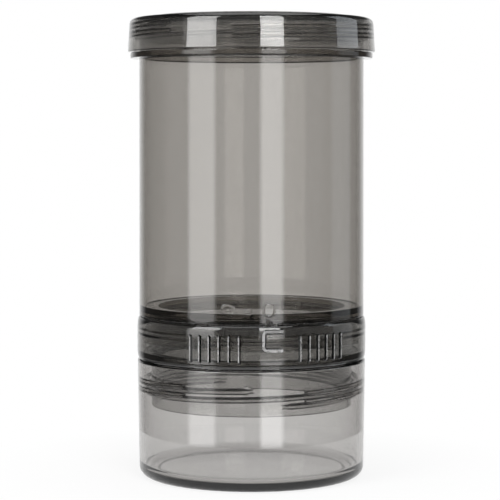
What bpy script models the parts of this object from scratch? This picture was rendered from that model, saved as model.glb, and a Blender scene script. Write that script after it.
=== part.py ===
"""Dusting shaker: a base cup, a twist collar with a shutter, a sieve, a clear tube and a lid.

Lengths are metres. The shaker stands on z = 0 with its axis on z. Angles are degrees, counted
from the front (-Y) towards +X, so they grow anticlockwise seen from above. Each piece is drawn
from its own seat, as a turned outline with its ridges, ribs and windows joined on or cut out,
and is then placed on the piece below it.
"""

import math

import bmesh
import bpy
from mathutils import Matrix, Vector

# Fits and facets
CLEARANCE = 0.0003
EDGE_ROUND = 0.0003
OVERRUN = 0.0010
JOIN_OVERLAP = 0.0005
MERGE_DISTANCE = 0.00001
FACETS = 44
FACET_DEG = 360 / FACETS
SHARP_DEG = 30
FLAT_DEG = 0.2
SORT_DIRECTION = (1, 0.618, 0.382)

# Chamber tube
TUBE_FOOT_RADIUS = 0.0452
TUBE_DRAFT = 0.00035
TUBE_WALL = 0.0020
TUBE_LENGTH = 0.1027
LEDGE_HEIGHT = 0.0039
LEDGE_THICKNESS = 0.0020
LEDGE_WIDTH = 0.0037
SPIGOT_DEPTH = 0.0102
SPIGOT_WALL = 0.0021
BEAD_DEPTH = 0.0056
BEAD_HALF_HEIGHT = 0.0010
BEAD_FLAT_HALF = 0.0004
BEAD_PROUD = 0.0005
COLLAR_PROUD = 0.00355
COLLAR_THICKNESS = 0.0022
MOUTH_HEIGHT = 0.0104
CLOSED_TAB_HEIGHT = 0.0035
CLOSED_TAB_REACH = 0.00135
CLOSED_TAB_DEG = 14

# Twist collar between cup and tube
RING_HEIGHT = 0.0170
RING_STEP = 0.0003
RING_BULGE = 0.0005
RING_WALL = 0.0019
BARREL_STEPS = 6
BARREL_FLATNESS = 6
SHELF_THICKNESS = 0.0022
SLEEVE_GAP = 0.00075
SLEEVE_WALL = 0.0020
NECK_DEPTH = 0.0184
SEAL_RECESS_DEPTH = 0.0019
SEAL_RECESS_SKIRT = 0.0009

# Finger grips on the twist collar, one pair of groups in front and one behind
GRIP_PAIRS = 2
FIRST_GRIP_PAIR_DEG = 8.9
GRIP_PAIR_SPREAD_DEG = 54
GRIPS_IN_GROUP = 6
GRIP_PITCH_DEG = 4.9
GRIP_FOOT_HEIGHT = 0.0027
GRIP_LENGTH = 0.0109
GRIP_WIDTH = 0.0010
GRIP_CREST_WIDTH = 0.0005
GRIP_PROUD = 0.0004
GRIP_END_TAPER = 0.0006

# Base cup
CUP_HEIGHT = 0.0469
CUP_STEP = 0.0004
CUP_DRAFT = 0.0006
CUP_WALL = 0.0024
CUP_FLOOR = 0.0025
CUP_FOOT_FILLET = 0.0040
CUP_INNER_FILLET = 0.0030
CUP_FOOT_RING_WIDTH = 0.0035
CUP_FOOT_RECESS = 0.0008
FILLET_STEPS = 4

# Lid
LID_THREAD_SPACE = 0.00215
LID_LIP_WALL = 0.0024
LID_DRAFT = 0.0008
LID_TOP_THICKNESS = 0.0015
LID_EDGE_FILLET = 0.0024
LID_RIM_INSET = 0.0050
LID_RIM_WIDTH = 0.0014
LID_RIM_RISE = 0.0006
PLUG_GAP = 0.00145
PLUG_WALL = 0.0015
PLUG_DEPTH = 0.0030

# Seals
CUP_SEAL_THICKNESS = 0.0016
LID_SEAL_THICKNESS = 0.0012
LID_SEAL_OVERLAP = 0.0003

# Shutter disc on the collar's sleeve and sieve disc under the tube's ledge
TWIST_DEG = 20
SECTORS = 9
SHUTTER_THICKNESS = 0.0016
SHUTTER_SPIGOT_DEPTH = 0.0024
SHUTTER_SPIGOT_WALL = 0.0015
HUB_RADIUS = 0.0120
WINDOW_RIM_MARGIN = 0.00115
WINDOW_DEG = 18.5
WINDOW_STEPS = 3
SIEVE_THICKNESS = 0.0015
SIEVE_RIM_HEIGHT = 0.0019
SIEVE_RIM_WIDTH = 0.0012
SLOT_WIDTH = 0.0016
SLOT_END_STEPS = 3
SLOT_MARGIN = 0.0010
SLOT_BRIDGE_WIDTH = 0.0030
SLOT_BRIDGE_SHARE = 0.4255
OUTER_SLOTS_IN_SECTOR = 3
OUTER_SLOT_PITCH_DEG = 6

# Keys that turn the discs with their carriers, and the stops that end the twist
KEYS = 3
FIRST_KEY_DEG = 30
SIEVE_KEY_DEG = 4
SIEVE_KEY_REACH = 0.0010
DRIVE_LUG_DEG = 8
DRIVE_LUG_DEPTH = 0.0015
STOP_LUG_DEG = 10
STOP_LUG_DEPTH = 0.0022
STOP_LUG_INSET = 0.0003
STOP_LUG_AT_DEG = 180
STOP_POST_DEG = 6

# Screw threads, the same form between collar and cup and between lid and tube. Their
# stations lie midway between the facet edges of the walls.
THREAD_STARTS = 2
THREAD_LEAD = 0.0066
THREAD_PITCH = THREAD_LEAD / THREAD_STARTS
RIDGE_ROOT_WIDTH = 0.0015
RIDGE_CREST_WIDTH = 0.0009
RIDGE_BITE = 0.0005
RIDGE_RAMP_DEG = 2 * FACET_DEG
NECK_RIDGE_REACH = 0.0020
NECK_THREAD_DEPTH = 0.0147
NECK_THREAD_START_DEG = 2.5 * FACET_DEG
NECK_THREAD_SWEEP_DEG = 42 * FACET_DEG
CUP_RIDGE_GAP = 0.0011
CUP_THREAD_START_DEG = 3.5 * FACET_DEG
CUP_THREAD_SWEEP_DEG = 14 * FACET_DEG
MOUTH_RIDGE_REACH = 0.0015
MOUTH_THREAD_RISE = 0.00345
MOUTH_THREAD_START_DEG = 2.5 * FACET_DEG
MOUTH_THREAD_SWEEP_DEG = 36 * FACET_DEG
LID_RIDGE_GAP = 0.00075
LID_THREAD_START_DEG = -1.5 * FACET_DEG
LID_THREAD_SWEEP_DEG = 18 * FACET_DEG

# Radii, from the tube outwards and inwards
TUBE_TOP_RADIUS = TUBE_FOOT_RADIUS - TUBE_DRAFT
TUBE_FOOT_BORE = TUBE_FOOT_RADIUS - TUBE_WALL
MOUTH_BORE = TUBE_TOP_RADIUS - TUBE_WALL
COLLAR_RADIUS = TUBE_TOP_RADIUS + COLLAR_PROUD
RING_END_RADIUS = TUBE_FOOT_RADIUS + RING_STEP
CHANNEL_RADIUS = RING_END_RADIUS - RING_WALL
SPIGOT_RADIUS = CHANNEL_RADIUS - CLEARANCE
SPIGOT_BORE = SPIGOT_RADIUS - SPIGOT_WALL
LEDGE_RADIUS = SPIGOT_BORE - LEDGE_WIDTH
SLEEVE_RADIUS = SPIGOT_BORE - SLEEVE_GAP
SLEEVE_BORE = SLEEVE_RADIUS - SLEEVE_WALL
SEAL_RECESS_RADIUS = RING_END_RADIUS - SEAL_RECESS_SKIRT
CUP_RIM_RADIUS = RING_END_RADIUS + CUP_STEP
CUP_BORE = CUP_RIM_RADIUS - CUP_WALL
LID_BORE = TUBE_TOP_RADIUS + LID_THREAD_SPACE
LID_LIP_RADIUS = LID_BORE + LID_LIP_WALL
PLUG_RADIUS = MOUTH_BORE - PLUG_GAP
SIEVE_RADIUS = SPIGOT_BORE - CLEARANCE
SHUTTER_SPIGOT_RADIUS = SLEEVE_BORE - CLEARANCE
SHUTTER_SPIGOT_BORE = SHUTTER_SPIGOT_RADIUS - SHUTTER_SPIGOT_WALL
WINDOW_RADIUS = SHUTTER_SPIGOT_BORE - WINDOW_RIM_MARGIN
SLOT_BRIDGE_RADIUS = HUB_RADIUS + (WINDOW_RADIUS - HUB_RADIUS) * SLOT_BRIDGE_SHARE

# Heights inside the tube, from its shoulder, which sits on the collar
LEDGE_UNDERSIDE = LEDGE_HEIGHT - LEDGE_THICKNESS
SIEVE_SEAT = LEDGE_UNDERSIDE - CLEARANCE - SIEVE_RIM_HEIGHT
COLLAR_TOP = TUBE_LENGTH + COLLAR_THICKNESS
MOUTH_TOP = COLLAR_TOP + MOUTH_HEIGHT

# Heights inside the twist collar, from its underside
TUBE_SEAT = RING_HEIGHT + CLEARANCE
SHUTTER_SEAT = TUBE_SEAT + SIEVE_SEAT - CLEARANCE - SHUTTER_THICKNESS
SLEEVE_TOP = SHUTTER_SEAT - CLEARANCE
SHELF_TOP = SEAL_RECESS_DEPTH + SHELF_THICKNESS
SPIGOT_FOOT = TUBE_SEAT - SPIGOT_DEPTH
BEAD_CENTRE = TUBE_SEAT - BEAD_DEPTH

# Heights inside the lid, from its lip
LID_SEAL_SEAT = MOUTH_HEIGHT
LID_UNDERSIDE = LID_SEAL_SEAT + LID_SEAL_THICKNESS + CLEARANCE
LID_HEIGHT = LID_UNDERSIDE + LID_TOP_THICKNESS

# Height of the twist collar's seat above the floor
RING_SEAT = CUP_HEIGHT + CLEARANCE

# Finishes: colour, roughness
SMOKE = ((0.33, 0.32, 0.30), 0.10)
DARK_SMOKE = ((0.20, 0.195, 0.19), 0.12)
PALE_SMOKE = ((0.45, 0.44, 0.42), 0.10)
SEAL_GREY = ((0.12, 0.12, 0.12), 0.55)


def polar(radius, angle_deg, height):
    """Point at a radius, an angle from the front and a height."""
    angle = math.radians(angle_deg)
    return Vector((radius * math.sin(angle), -radius * math.cos(angle), height))


def arc(centre, radius, start_deg, end_deg, steps):
    """Points of an arc in an outline, from start to end, where 0 degrees points outwards."""
    points = []
    for step in range(steps + 1):
        angle = math.radians(start_deg + (end_deg - start_deg) * step / steps)
        points.append((centre[0] + radius * math.cos(angle), centre[1] + radius * math.sin(angle)))
    return points


def new_object(name, mesh_builder):
    """Object with the closed mesh that is left in the builder, its faces pointing out."""
    bmesh.ops.remove_doubles(mesh_builder, verts=mesh_builder.verts, dist=MERGE_DISTANCE)
    bmesh.ops.recalc_face_normals(mesh_builder, faces=mesh_builder.faces)
    mesh = bpy.data.meshes.new(name)
    mesh_builder.to_mesh(mesh)
    mesh_builder.free()
    piece = bpy.data.objects.new(name, mesh)
    bpy.context.scene.collection.objects.link(piece)
    return piece


def turned(name, outline):
    """Outline of (radius, height) points spun once round the z axis."""
    builder = bmesh.new()
    corners = [builder.verts.new(polar(radius, 0, height)) for radius, height in outline]
    edges = []
    for index, corner in enumerate(corners):
        on_axis = outline[index - 1][0] == 0 and outline[index][0] == 0
        if not on_axis:
            edges.append(builder.edges.new((corners[index - 1], corner)))
    bmesh.ops.spin(
        builder,
        geom=corners + edges,
        cent=(0, 0, 0),
        axis=(0, 0, 1),
        angle=math.tau,
        steps=FACETS,
        use_merge=True,
    )
    return new_object(name, builder)


def skin(builder, sections):
    """Closed solid through a row of like sections, with a cap at each end."""
    rings = [[builder.verts.new(point) for point in section] for section in sections]
    for near, far in zip(rings, rings[1:]):
        for index in range(len(near)):
            builder.faces.new((near[index - 1], near[index], far[index], far[index - 1]))
    builder.faces.new(rings[0])
    builder.faces.new(rings[-1])


def curved_block(builder, inner, outer, bottom, top, centre_deg, width_deg, steps):
    """Block between two radii and two heights, bent round the axis."""
    sections = []
    for step in range(steps + 1):
        angle = centre_deg + width_deg * (step / steps - 0.5)
        corners = ((inner, bottom), (outer, bottom), (outer, top), (inner, top))
        sections.append([polar(radius, angle, height) for radius, height in corners])
    skin(builder, sections)


def curved_blocks(inner, outer, bottom, top, first_deg, width_deg, count, steps):
    """Tool object with equal curved blocks spread round the axis."""
    builder = bmesh.new()
    for index in range(count):
        centre = first_deg + 360 * index / count
        curved_block(builder, inner, outer, bottom, top, centre, width_deg, steps)
    return new_object("blocks", builder)


def thread(root, crest, start_deg, sweep_deg, start_height, rows, ramp_deg):
    """Tool object with the ridges of one thread, each start with its rows one pitch apart.

    The ridge stands on the root radius and reaches the crest radius, inside or outside it. With
    a ramp its two ends run out into the wall, and without one they are cut off square.
    """
    builder = bmesh.new()
    outwards = math.copysign(1, crest - root)
    stations = round(sweep_deg / FACET_DEG)
    for start in range(THREAD_STARTS):
        for row in range(rows):
            sections = []
            for station in range(stations + 1):
                turned_deg = sweep_deg * station / stations
                angle = start_deg + turned_deg + 360 * start / THREAD_STARTS
                height = start_height + row * THREAD_PITCH + THREAD_LEAD * turned_deg / 360
                to_end_deg = min(turned_deg, sweep_deg - turned_deg)
                reach = min(1, to_end_deg / ramp_deg) if ramp_deg else 1
                foot = root - outwards * RIDGE_BITE
                tip = root - outwards * RIDGE_BITE / 2
                tip += (crest - tip) * reach
                corners = (
                    (foot, height - RIDGE_ROOT_WIDTH / 2),
                    (tip, height - RIDGE_CREST_WIDTH / 2),
                    (tip, height + RIDGE_CREST_WIDTH / 2),
                    (foot, height + RIDGE_ROOT_WIDTH / 2),
                )
                sections.append([polar(radius, angle, level) for radius, level in corners])
            skin(builder, sections)
    return new_object("thread", builder)


def set_order(builder):
    """Sort the mesh by place, so that merging its points and faces ends the same each time."""
    direction = Vector(SORT_DIRECTION)
    builder.verts.sort(key=lambda vert: direction.dot(vert.co))
    builder.edges.sort(key=lambda edge: direction.dot(edge.verts[0].co + edge.verts[1].co))
    builder.faces.sort(key=lambda face: direction.dot(face.calc_center_median()))


def combine(piece, tool, operation):
    """Join the tool to the piece or cut it out, drop the tool and merge the flat faces."""
    modifier = piece.modifiers.new("Combine", "BOOLEAN")
    modifier.operation = operation
    modifier.object = tool
    depsgraph = bpy.context.evaluated_depsgraph_get()
    mesh = bpy.data.meshes.new_from_object(piece.evaluated_get(depsgraph))
    piece.modifiers.clear()
    piece.data = mesh
    bpy.data.objects.remove(tool)
    builder = bmesh.new()
    builder.from_mesh(mesh)
    set_order(builder)
    bmesh.ops.remove_doubles(builder, verts=builder.verts, dist=MERGE_DISTANCE)
    bmesh.ops.dissolve_limit(
        builder,
        angle_limit=math.radians(FLAT_DEG),
        verts=builder.verts,
        edges=builder.edges,
    )
    builder.to_mesh(mesh)
    builder.free()


def finish(piece, look):
    """Smooth the round faces, keep the corners sharp and give the piece its own material."""
    colour, roughness = look
    piece.data.shade_smooth()
    piece.data.set_sharp_from_angle(angle=math.radians(SHARP_DEG))
    material = bpy.data.materials.new(piece.name)
    material.use_nodes = True
    shader = material.node_tree.nodes["Principled BSDF"]
    shader.inputs["Base Color"].default_value = (*colour, 1)
    shader.inputs["Roughness"].default_value = roughness
    shader.inputs["Metallic"].default_value = 0
    piece.data.materials.clear()
    piece.data.materials.append(material)


def bead_outline(radius, centre, grown):
    """Four outline points of the snap bead, from its top down, or of its groove when grown."""
    half = BEAD_HALF_HEIGHT + grown
    flat_half = BEAD_FLAT_HALF + grown
    return [
        (radius, centre + half),
        (radius + BEAD_PROUD, centre + flat_half),
        (radius + BEAD_PROUD, centre - flat_half),
        (radius, centre - half),
    ]


def neck_ridge_height(angle_deg):
    """Height above the floor of the collar neck's lowest ridge, at an angle."""
    turned_deg = angle_deg - NECK_THREAD_START_DEG
    return RING_SEAT - NECK_THREAD_DEPTH + THREAD_LEAD * turned_deg / 360


def mouth_ridge_height(angle_deg):
    """Height above the tube's collar of the lowest ridge on the tube's mouth, at an angle."""
    turned_deg = angle_deg - MOUTH_THREAD_START_DEG
    return MOUTH_THREAD_RISE + THREAD_LEAD * turned_deg / 360


def make_base_cup():
    """Drafted cup with a foot ring and the broken inner thread that takes the collar's neck."""
    foot_radius = CUP_RIM_RADIUS - CUP_DRAFT
    inner_foot = foot_radius - CUP_WALL
    foot_ring_bore = foot_radius - CUP_FOOT_FILLET - CUP_FOOT_RING_WIDTH
    floor_top = CUP_FOOT_RECESS + CUP_FLOOR
    outer_fillet = arc(
        (foot_radius - CUP_FOOT_FILLET, CUP_FOOT_FILLET), CUP_FOOT_FILLET, -90, 0, FILLET_STEPS
    )
    inner_fillet = arc(
        (inner_foot - CUP_INNER_FILLET, floor_top + CUP_INNER_FILLET),
        CUP_INNER_FILLET,
        0,
        -90,
        FILLET_STEPS - 1,
    )
    outline = [
        (0, CUP_FOOT_RECESS),
        (foot_ring_bore - CUP_FOOT_RECESS, CUP_FOOT_RECESS),
        (foot_ring_bore, 0),
        *outer_fillet,
        (CUP_RIM_RADIUS, CUP_HEIGHT - EDGE_ROUND),
        (CUP_RIM_RADIUS - EDGE_ROUND, CUP_HEIGHT),
        (CUP_BORE, CUP_HEIGHT),
        *inner_fillet,
        (0, floor_top),
    ]
    cup = turned("base_cup", outline)
    ridges = thread(
        root=CUP_BORE,
        crest=SLEEVE_RADIUS + CUP_RIDGE_GAP,
        start_deg=CUP_THREAD_START_DEG,
        sweep_deg=CUP_THREAD_SWEEP_DEG,
        start_height=neck_ridge_height(CUP_THREAD_START_DEG) + THREAD_PITCH / 2,
        rows=THREAD_STARTS,
        ramp_deg=0,
    )
    combine(cup, ridges, "UNION")
    finish(cup, PALE_SMOKE)
    return cup


def make_cup_seal():
    """Flat ring in the collar's recess, with its outer part on the cup's rim."""
    inner = SLEEVE_RADIUS + CLEARANCE
    outer = SEAL_RECESS_RADIUS - CLEARANCE
    seal = turned(
        "cup_seal",
        [(inner, 0), (outer, 0), (outer, CUP_SEAL_THICKNESS), (inner, CUP_SEAL_THICKNESS)],
    )
    finish(seal, SEAL_GREY)
    return seal


def grip_group_angles():
    """Angles of the groups' centres, each pair spread about its own centre."""
    angles = []
    for pair in range(GRIP_PAIRS):
        centre = FIRST_GRIP_PAIR_DEG + 360 * pair / GRIP_PAIRS
        angles += [centre - GRIP_PAIR_SPREAD_DEG / 2, centre + GRIP_PAIR_SPREAD_DEG / 2]
    return angles


def make_grips():
    """Tool object with the groups of upright bars on the twist collar's barrel."""
    builder = bmesh.new()
    foot = RING_END_RADIUS - RIDGE_BITE
    crest = RING_END_RADIUS + RING_BULGE + GRIP_PROUD
    top = GRIP_FOOT_HEIGHT + GRIP_LENGTH
    levels = (
        (GRIP_FOOT_HEIGHT, foot),
        (GRIP_FOOT_HEIGHT + GRIP_END_TAPER, crest),
        (top - GRIP_END_TAPER, crest),
        (top, foot),
    )
    for group in grip_group_angles():
        for bar in range(GRIPS_IN_GROUP):
            angle = group + (bar - (GRIPS_IN_GROUP - 1) / 2) * GRIP_PITCH_DEG
            turn = Matrix.Rotation(math.radians(angle), 4, "Z")
            sections = []
            for height, tip in levels:
                corners = (
                    (-GRIP_WIDTH / 2, foot - RIDGE_BITE),
                    (GRIP_WIDTH / 2, foot - RIDGE_BITE),
                    (GRIP_CREST_WIDTH / 2, tip),
                    (-GRIP_CREST_WIDTH / 2, tip),
                )
                sections.append([turn @ Vector((side, -reach, height)) for side, reach in corners])
            skin(builder, sections)
    return new_object("grips", builder)


def make_collar_ring():
    """Barrel with a shelf, a sleeve that carries the shutter and a threaded neck below."""
    barrel = []
    for step in range(BARREL_STEPS + 1):
        share = math.sin(math.pi * (step / BARREL_STEPS - 0.5))
        height = RING_HEIGHT / 2 + (RING_HEIGHT / 2 - EDGE_ROUND) * share
        barrel.append((RING_END_RADIUS + RING_BULGE * (1 - share ** BARREL_FLATNESS), height))
    outline = [
        (RING_END_RADIUS - EDGE_ROUND, 0),
        *barrel,
        (RING_END_RADIUS - EDGE_ROUND, RING_HEIGHT),
        (CHANNEL_RADIUS, RING_HEIGHT),
        *bead_outline(CHANNEL_RADIUS, BEAD_CENTRE, CLEARANCE),
        (CHANNEL_RADIUS, SHELF_TOP),
        (SLEEVE_RADIUS, SHELF_TOP),
        (SLEEVE_RADIUS, SLEEVE_TOP),
        (SLEEVE_BORE, SLEEVE_TOP),
        (SLEEVE_BORE, -NECK_DEPTH),
        (SLEEVE_RADIUS - EDGE_ROUND, -NECK_DEPTH),
        (SLEEVE_RADIUS, EDGE_ROUND - NECK_DEPTH),
        (SLEEVE_RADIUS, SEAL_RECESS_DEPTH),
        (SEAL_RECESS_RADIUS, SEAL_RECESS_DEPTH),
        (SEAL_RECESS_RADIUS, 0),
    ]
    ring = turned("collar_ring", outline)
    ridges = thread(
        root=SLEEVE_RADIUS,
        crest=SLEEVE_RADIUS + NECK_RIDGE_REACH,
        start_deg=NECK_THREAD_START_DEG,
        sweep_deg=NECK_THREAD_SWEEP_DEG,
        start_height=-NECK_THREAD_DEPTH,
        rows=1,
        ramp_deg=RIDGE_RAMP_DEG,
    )
    combine(ring, ridges, "UNION")
    combine(ring, make_grips(), "UNION")
    notches = curved_blocks(
        inner=SLEEVE_BORE - OVERRUN,
        outer=SLEEVE_RADIUS + OVERRUN / 2,
        bottom=SLEEVE_TOP - DRIVE_LUG_DEPTH,
        top=SLEEVE_TOP + OVERRUN,
        first_deg=FIRST_KEY_DEG,
        width_deg=DRIVE_LUG_DEG + 2 * clearance_deg(SLEEVE_RADIUS),
        count=KEYS,
        steps=1,
    )
    combine(ring, notches, "DIFFERENCE")
    for centre in stop_post_angles():
        builder = bmesh.new()
        curved_block(
            builder,
            inner=SLEEVE_RADIUS - JOIN_OVERLAP,
            outer=CHANNEL_RADIUS + JOIN_OVERLAP,
            bottom=SHELF_TOP - JOIN_OVERLAP,
            top=SPIGOT_FOOT - CLEARANCE,
            centre_deg=centre,
            width_deg=STOP_POST_DEG,
            steps=1,
        )
        combine(ring, new_object("post", builder), "UNION")
    finish(ring, DARK_SMOKE)
    return ring


def clearance_deg(radius):
    """Angle that the clearance takes up at a radius."""
    return math.degrees(CLEARANCE / radius)


def stop_post_angles():
    """Angles of the two posts that the tube's stop lug meets, closed and open."""
    to_post = STOP_LUG_DEG / 2 + clearance_deg(SPIGOT_BORE) + STOP_POST_DEG / 2
    return STOP_LUG_AT_DEG - to_post, STOP_LUG_AT_DEG + TWIST_DEG + to_post


def make_shutter_disc():
    """Disc with sector windows, centred in the sleeve and driven by its notches."""
    outline = [
        (0, 0),
        (SHUTTER_SPIGOT_BORE, 0),
        (SHUTTER_SPIGOT_BORE, -SHUTTER_SPIGOT_DEPTH),
        (SHUTTER_SPIGOT_RADIUS, -SHUTTER_SPIGOT_DEPTH),
        (SHUTTER_SPIGOT_RADIUS, 0),
        (SLEEVE_RADIUS, 0),
        (SLEEVE_RADIUS, SHUTTER_THICKNESS),
        (0, SHUTTER_THICKNESS),
    ]
    shutter = turned("shutter_disc", outline)
    lugs = curved_blocks(
        inner=SHUTTER_SPIGOT_RADIUS - SHUTTER_SPIGOT_WALL / 2,
        outer=SLEEVE_RADIUS - CLEARANCE,
        bottom=-DRIVE_LUG_DEPTH,
        top=SHUTTER_THICKNESS / 2,
        first_deg=FIRST_KEY_DEG,
        width_deg=DRIVE_LUG_DEG,
        count=KEYS,
        steps=1,
    )
    combine(shutter, lugs, "UNION")
    builder = bmesh.new()
    for sector in range(SECTORS):
        curved_block(
            builder,
            inner=HUB_RADIUS,
            outer=WINDOW_RADIUS,
            bottom=-OVERRUN,
            top=SHUTTER_THICKNESS + OVERRUN,
            centre_deg=TWIST_DEG + 360 * sector / SECTORS,
            width_deg=WINDOW_DEG,
            steps=WINDOW_STEPS,
        )
    combine(shutter, new_object("windows", builder), "DIFFERENCE")
    finish(shutter, DARK_SMOKE)
    return shutter


def slot_cutter(builder, near, far, angle_deg):
    """Upright slot with round ends that lies along a radius, from near to far."""
    end_radius = SLOT_WIDTH / 2
    turn = Matrix.Rotation(math.radians(angle_deg), 4, "Z")
    plan = arc((far - end_radius, 0), end_radius, -90, 90, SLOT_END_STEPS)
    plan += arc((near + end_radius, 0), end_radius, 90, 270, SLOT_END_STEPS)
    sections = []
    for height in (-OVERRUN, SIEVE_RIM_HEIGHT + OVERRUN):
        sections.append([turn @ Vector((side, -reach, height)) for reach, side in plan])
    skin(builder, sections)


def make_sieve_disc():
    """Disc with a raised rim, and slots only over the sectors that the shutter can open."""
    outline = [
        (0, 0),
        (SIEVE_RADIUS, 0),
        (SIEVE_RADIUS, SIEVE_RIM_HEIGHT),
        (SIEVE_RADIUS - SIEVE_RIM_WIDTH, SIEVE_RIM_HEIGHT),
        (SIEVE_RADIUS - SIEVE_RIM_WIDTH, SIEVE_THICKNESS),
        (0, SIEVE_THICKNESS),
    ]
    sieve = turned("sieve_disc", outline)
    bridge_inner = SLOT_BRIDGE_RADIUS - SLOT_BRIDGE_WIDTH / 2
    bridge_outer = SLOT_BRIDGE_RADIUS + SLOT_BRIDGE_WIDTH / 2
    builder = bmesh.new()
    for sector in range(SECTORS):
        centre = 360 * sector / SECTORS
        slot_cutter(builder, HUB_RADIUS + SLOT_MARGIN, bridge_inner, centre)
        for slot in range(OUTER_SLOTS_IN_SECTOR):
            offset = (slot - (OUTER_SLOTS_IN_SECTOR - 1) / 2) * OUTER_SLOT_PITCH_DEG
            slot_cutter(builder, bridge_outer, WINDOW_RADIUS - SLOT_MARGIN, centre + offset)
    combine(sieve, new_object("slots", builder), "DIFFERENCE")
    notches = curved_blocks(
        inner=SPIGOT_BORE - SIEVE_KEY_REACH - CLEARANCE,
        outer=SIEVE_RADIUS + OVERRUN,
        bottom=-OVERRUN,
        top=SIEVE_RIM_HEIGHT + OVERRUN,
        first_deg=FIRST_KEY_DEG,
        width_deg=SIEVE_KEY_DEG + 2 * clearance_deg(LEDGE_RADIUS),
        count=KEYS,
        steps=1,
    )
    combine(sieve, notches, "DIFFERENCE")
    finish(sieve, SMOKE)
    return sieve


def make_chamber_tube():
    """Tube with a snap-in spigot and sieve ledge below, a collar and a threaded mouth above."""
    outline = [
        (SPIGOT_RADIUS, 0),
        (TUBE_FOOT_RADIUS - EDGE_ROUND, 0),
        (TUBE_FOOT_RADIUS, EDGE_ROUND),
        (TUBE_TOP_RADIUS, TUBE_LENGTH),
        (COLLAR_RADIUS - EDGE_ROUND, TUBE_LENGTH),
        (COLLAR_RADIUS, TUBE_LENGTH + EDGE_ROUND),
        (COLLAR_RADIUS, COLLAR_TOP),
        (TUBE_TOP_RADIUS, COLLAR_TOP),
        (TUBE_TOP_RADIUS, MOUTH_TOP - EDGE_ROUND),
        (TUBE_TOP_RADIUS - EDGE_ROUND, MOUTH_TOP),
        (MOUTH_BORE, MOUTH_TOP),
        (TUBE_FOOT_BORE, LEDGE_HEIGHT),
        (LEDGE_RADIUS, LEDGE_HEIGHT),
        (LEDGE_RADIUS, LEDGE_UNDERSIDE),
        (SPIGOT_BORE, LEDGE_UNDERSIDE),
        (SPIGOT_BORE, -SPIGOT_DEPTH),
        (SPIGOT_RADIUS, -SPIGOT_DEPTH),
        *reversed(bead_outline(SPIGOT_RADIUS, -BEAD_DEPTH, 0)),
    ]
    tube = turned("chamber_tube", outline)
    ridges = thread(
        root=TUBE_TOP_RADIUS,
        crest=TUBE_TOP_RADIUS + MOUTH_RIDGE_REACH,
        start_deg=MOUTH_THREAD_START_DEG,
        sweep_deg=MOUTH_THREAD_SWEEP_DEG,
        start_height=COLLAR_TOP + MOUTH_THREAD_RISE,
        rows=1,
        ramp_deg=RIDGE_RAMP_DEG,
    )
    combine(tube, ridges, "UNION")
    tab = curved_blocks(
        inner=TUBE_TOP_RADIUS - JOIN_OVERLAP,
        outer=TUBE_TOP_RADIUS + CLOSED_TAB_REACH,
        bottom=COLLAR_TOP - JOIN_OVERLAP,
        top=COLLAR_TOP + CLOSED_TAB_HEIGHT,
        first_deg=0,
        width_deg=CLOSED_TAB_DEG,
        count=1,
        steps=3,
    )
    combine(tube, tab, "UNION")
    keys = curved_blocks(
        inner=SPIGOT_BORE - SIEVE_KEY_REACH,
        outer=SPIGOT_BORE + JOIN_OVERLAP,
        bottom=SIEVE_SEAT,
        top=LEDGE_UNDERSIDE + JOIN_OVERLAP,
        first_deg=FIRST_KEY_DEG,
        width_deg=SIEVE_KEY_DEG,
        count=KEYS,
        steps=1,
    )
    combine(tube, keys, "UNION")
    stop_lug = curved_blocks(
        inner=SPIGOT_BORE + STOP_LUG_INSET,
        outer=SPIGOT_RADIUS - STOP_LUG_INSET,
        bottom=-SPIGOT_DEPTH - STOP_LUG_DEPTH,
        top=-SPIGOT_DEPTH + JOIN_OVERLAP,
        first_deg=STOP_LUG_AT_DEG,
        width_deg=STOP_LUG_DEG,
        count=1,
        steps=1,
    )
    combine(tube, stop_lug, "UNION")
    finish(tube, SMOKE)
    return tube


def make_lid_seal():
    """Flat ring round the lid's plug that the tube's mouth presses on."""
    inner = PLUG_RADIUS + CLEARANCE
    outer = TUBE_TOP_RADIUS + LID_SEAL_OVERLAP
    seal = turned(
        "lid_seal",
        [(inner, 0), (outer, 0), (outer, LID_SEAL_THICKNESS), (inner, LID_SEAL_THICKNESS)],
    )
    finish(seal, SEAL_GREY)
    return seal


def make_lid():
    """Screw lid with a drafted skirt, a raised rim on top, a plug ring and a broken thread."""
    shoulder_radius = LID_LIP_RADIUS - LID_DRAFT
    rim_radius = shoulder_radius - LID_EDGE_FILLET - LID_RIM_INSET
    edge_fillet = arc(
        (shoulder_radius - LID_EDGE_FILLET, LID_HEIGHT - LID_EDGE_FILLET),
        LID_EDGE_FILLET,
        0,
        90,
        FILLET_STEPS,
    )
    outline = [
        (LID_BORE, 0),
        (LID_LIP_RADIUS, 0),
        *edge_fillet,
        (rim_radius, LID_HEIGHT),
        (rim_radius - LID_RIM_RISE / 2, LID_HEIGHT + LID_RIM_RISE),
        (rim_radius - LID_RIM_WIDTH, LID_HEIGHT + LID_RIM_RISE),
        (rim_radius - LID_RIM_WIDTH, LID_HEIGHT),
        (0, LID_HEIGHT),
        (0, LID_UNDERSIDE),
        (PLUG_RADIUS - PLUG_WALL, LID_UNDERSIDE),
        (PLUG_RADIUS - PLUG_WALL, LID_UNDERSIDE - PLUG_DEPTH),
        (PLUG_RADIUS, LID_UNDERSIDE - PLUG_DEPTH),
        (PLUG_RADIUS, LID_UNDERSIDE),
        (LID_BORE, LID_UNDERSIDE),
    ]
    lid = turned("lid", outline)
    lip_above_collar = CLEARANCE
    ridges = thread(
        root=LID_BORE,
        crest=TUBE_TOP_RADIUS + LID_RIDGE_GAP,
        start_deg=LID_THREAD_START_DEG,
        sweep_deg=LID_THREAD_SWEEP_DEG,
        start_height=mouth_ridge_height(LID_THREAD_START_DEG) + THREAD_PITCH / 2 - lip_above_collar,
        rows=THREAD_STARTS,
        ramp_deg=0,
    )
    combine(lid, ridges, "UNION")
    finish(lid, DARK_SMOKE)
    return lid


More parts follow.
